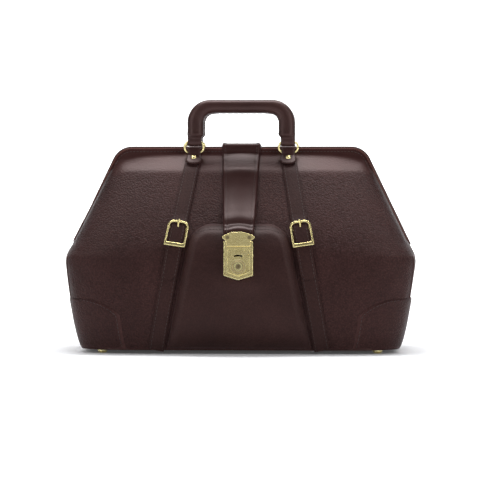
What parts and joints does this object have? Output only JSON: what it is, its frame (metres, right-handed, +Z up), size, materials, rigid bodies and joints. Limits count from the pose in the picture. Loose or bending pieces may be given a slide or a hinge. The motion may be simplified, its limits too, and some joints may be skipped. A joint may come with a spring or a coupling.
{
  "type": "doctor bag",
  "caption": "Leather doctor bag: stiffened base on studs, hinged steel-framed mouth, over-flap with turn-knob lock, front pocket, buckled straps and rolled handles on rings",
  "frame": {"origin": "the tip of the middle stud, at the centre of the footprint, on the plane that the feet stand on", "axes": "+X along the bag to its right, -Y is the front with the lock, +Z up"},
  "size_m": [0.4308, 0.213, 0.308],
  "materials": {
    "body_leather": "pebble grain, dark brown, satin",
    "trim_leather": "smooth dark brown, semi-gloss",
    "brass": "pale satin brass",
    "steel": "zinc-plated steel",
    "core": "pressed cord",
    "board": "fibreboard"
  },
  "bodies": {
    "bag_body": {"back_panel_lower": "body_leather", "base_board": "board", "base_cover": "body_leather", "base_feet": "brass", "buckle_bar_left": "brass", "buckle_bar_right": "brass", "buckle_frame_left": "brass", "buckle_frame_right": "brass", "corner_patch_back_left": "trim_leather", "corner_patch_back_right": "trim_leather", "corner_patch_front_left": "trim_leather", "corner_patch_front_right": "trim_leather", "front_panel_lower": "body_leather", "front_pocket": "body_leather", "gusset_left": "body_leather", "gusset_right": "body_leather", "hinge_pin_left": "steel", "hinge_pin_right": "steel", "hinge_stay_left": "steel", "hinge_stay_right": "steel", "lock_back_plate": "steel", "lock_case": "brass", "lock_face": "brass", "lock_screws": "steel", "strap_lower_left": "trim_leather", "strap_lower_right": "trim_leather"},
    "front_jaw": {"frame_steel_front": "steel", "frame_rail_front": "trim_leather", "mouth_band_front": "trim_leather", "front_panel_upper": "body_leather", "chape_rivets_front": "brass", "chape_front_left": "trim_leather", "chape_front_right": "trim_leather", "strap_upper_left": "trim_leather", "strap_upper_right": "trim_leather"},
    "back_jaw": {"frame_steel_back": "steel", "frame_rail_back": "trim_leather", "mouth_band_back": "trim_leather", "back_panel_upper": "body_leather", "chape_rivets_back": "brass", "chape_back_left": "trim_leather", "chape_back_right": "trim_leather"},
    "flap": {"flap_strap": "trim_leather", "hasp_plate": "brass", "hasp_staple": "brass", "hasp_rivets": "brass"},
    "front_rings": {"ring_front_left": "brass", "ring_front_right": "brass"},
    "back_rings": {"ring_back_left": "brass", "ring_back_right": "brass"},
    "front_handle": {"handle_grip_front": "trim_leather", "handle_core_front": "core"},
    "back_handle": {"handle_grip_back": "trim_leather", "handle_core_back": "core"},
    "lock_knob": {"lock_knob": "brass", "knob_cam": "steel"},
    "key_plug": {"key_plug": "brass"},
    "latch_bolt": {"latch_bolt": "steel"},
    "left_tongue": {"buckle_tongue_left": "brass"},
    "right_tongue": {"buckle_tongue_right": "brass"}
  },
  "joints": [
    {"name": "front_jaw_open", "type": "hinge", "parent": "bag_body", "child": "front_jaw", "pos_m": [0, 0, 0.118], "axis": [1, 0, 0], "range_deg": [0, 30], "deforming": ["front_panel_upper", "strap_upper_left", "strap_upper_right"]},
    {"name": "back_jaw_open", "type": "hinge", "parent": "bag_body", "child": "back_jaw", "pos_m": [0, 0, 0.118], "axis": [-1, 0, 0], "range_deg": [0, 30], "deforming": ["back_panel_upper"]},
    {"name": "flap_lift", "type": "hinge", "parent": "back_jaw", "child": "flap", "pos_m": [0, 0.0095, 0.2512], "axis": [-1, 0, 0], "range_deg": [0, 70], "deforming": ["flap_strap"]},
    {"name": "front_ring_swing", "type": "hinge", "parent": "front_jaw", "child": "front_rings", "pos_m": [0, -0.01681, 0.24338], "axis": [1, 0, 0], "range_deg": [0, 25]},
    {"name": "front_handle_fold", "type": "hinge", "parent": "front_rings", "child": "front_handle", "pos_m": [0, -0.01681, 0.25638], "axis": [1, 0, 0], "range_deg": [0, 90]},
    {"name": "back_ring_swing", "type": "hinge", "parent": "back_jaw", "child": "back_rings", "pos_m": [0, 0.01681, 0.24338], "axis": [-1, 0, 0], "range_deg": [0, 25]},
    {"name": "back_handle_fold", "type": "hinge", "parent": "back_rings", "child": "back_handle", "pos_m": [0, 0.01681, 0.25638], "axis": [-1, 0, 0], "range_deg": [0, 90]},
    {"name": "lock_knob_turn", "type": "hinge", "parent": "bag_body", "child": "lock_knob", "pos_m": [0, -0.10741, 0.10514], "axis": [0, -0.9816, 0.1908], "range_deg": [0, 50]},
    {"name": "key_turn", "type": "hinge", "parent": "lock_knob", "child": "key_plug", "pos_m": [0, -0.10741, 0.10514], "axis": [0, -0.9816, 0.1908], "range_deg": [0, 90]},
    {"name": "latch_slide", "type": "slide", "parent": "bag_body", "child": "latch_bolt", "axis": [-1, 0, 0], "range_m": [0, 0.00652]},
    {"name": "left_tongue_lift", "type": "hinge", "parent": "bag_body", "child": "left_tongue", "pos_m": [-0.07389, -0.07988, 0.15064], "axis": [0.9872, -0.07, -0.1435], "range_deg": [0, 90]},
    {"name": "right_tongue_lift", "type": "hinge", "parent": "bag_body", "child": "right_tongue", "pos_m": [0.07389, -0.07988, 0.15064], "axis": [0.9872, 0.07, 0.1435], "range_deg": [0, 90]}
  ],
  "couplings": [
    {"joint": "back_jaw_open", "follows": "front_jaw_open", "ratio": 1},
    {"joint": "flap_lift", "follows": "front_jaw_open", "ratio": 2.3333},
    {"joint": "latch_slide", "follows": "lock_knob_turn", "m_per_rad": 0.007458}
  ]
}
